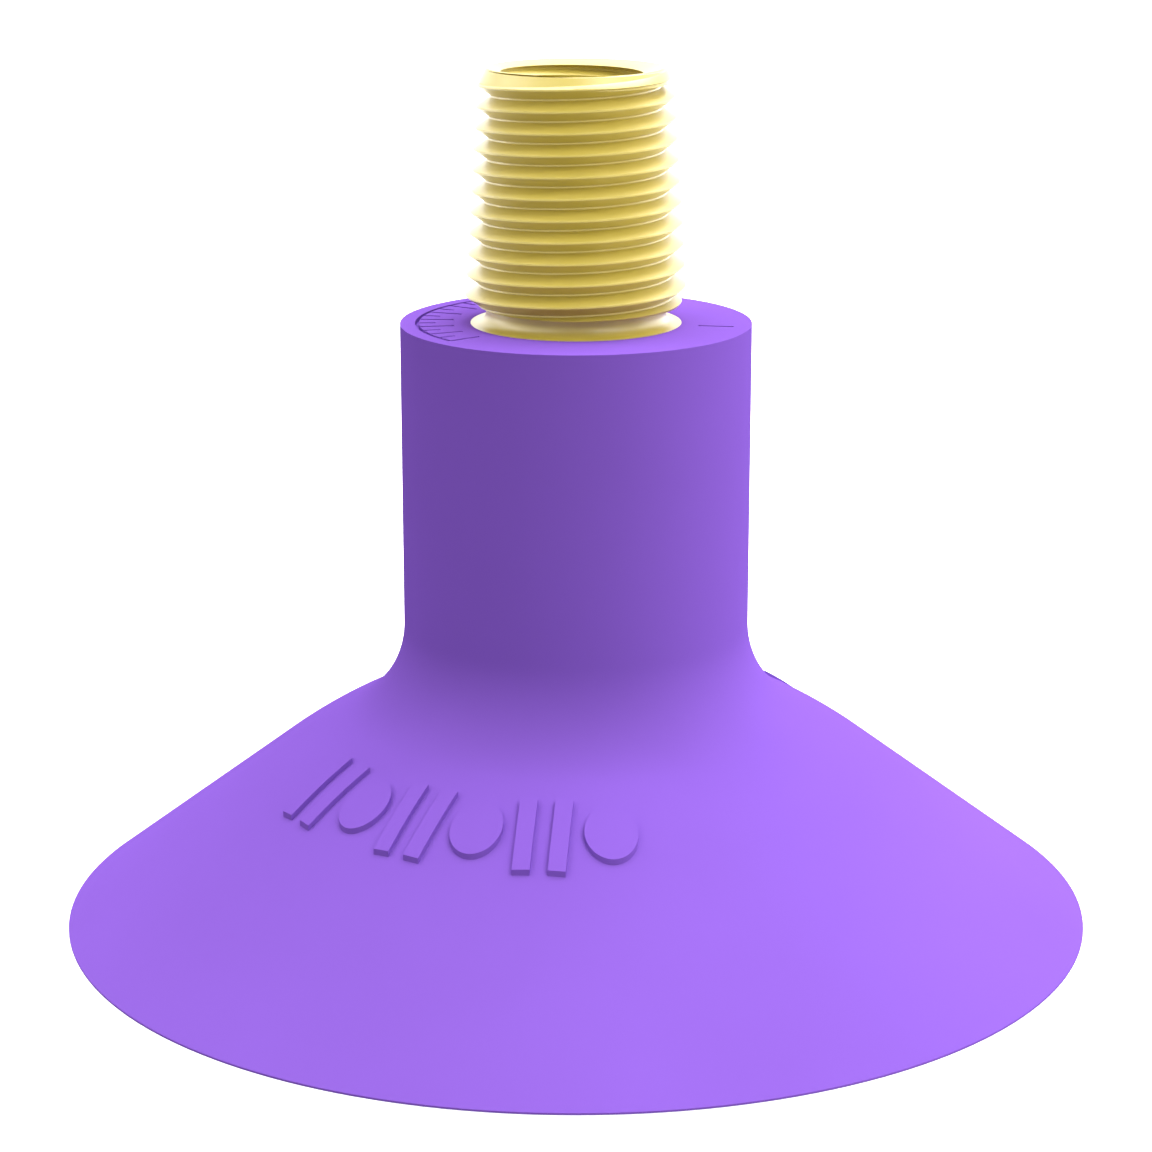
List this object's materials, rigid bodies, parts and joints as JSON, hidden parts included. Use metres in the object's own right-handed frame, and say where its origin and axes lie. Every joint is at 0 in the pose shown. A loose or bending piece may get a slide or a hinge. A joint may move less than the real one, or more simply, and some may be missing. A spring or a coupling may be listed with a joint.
{
  "type": "vacuum suction cup",
  "caption": "Bell-shaped polyurethane suction cup on a long neck, with a brass fitting that has an outer taper thread, an inner port thread and a mesh filter.",
  "frame": {"origin": "centre of the circle where the sealing lip touches the work", "axes": "+Z along the cup's axis, from the lip towards the fitting's port; the raised marks are at the front left, towards -X and -Y"},
  "size_m": [0.068, 0.068, 0.0561],
  "materials": {
    "polyurethane": "satin moulded polyurethane, purple",
    "brass": "turned yellow brass, satin",
    "filter_wire": "drawn stainless wire",
    "spring_steel": "spring steel, darker than the mesh"
  },
  "bodies": {
    "neck": {"cup_neck": "polyurethane", "cup_shoulder": "polyurethane", "raised_marks": "polyurethane", "upper_skirt": "polyurethane", "fitting": "brass", "filter_frame": "brass", "mesh_warp": "filter_wire", "mesh_weft": "filter_wire", "snap_ring": "spring_steel"},
    "skirt": {"flex_ring": "polyurethane", "lower_skirt": "polyurethane"},
    "lip": {"sealing_lip": "polyurethane"}
  },
  "joints": [
    {"name": "cup_stroke", "type": "slide", "parent": "neck", "child": "skirt", "axis": [0, 0, 1], "range_m": [0, 0.0035], "stiffness_N_per_m": 3000, "deforming": ["upper_skirt"]},
    {"name": "lip_tilt", "type": "hinge", "parent": "skirt", "child": "lip", "pos_m": [0, 0, 0.0036], "axis": [0, 1, 0], "range_deg": [-3, 3], "stiffness_Nm_per_rad": 2, "deforming": ["lower_skirt"]}
  ]
}
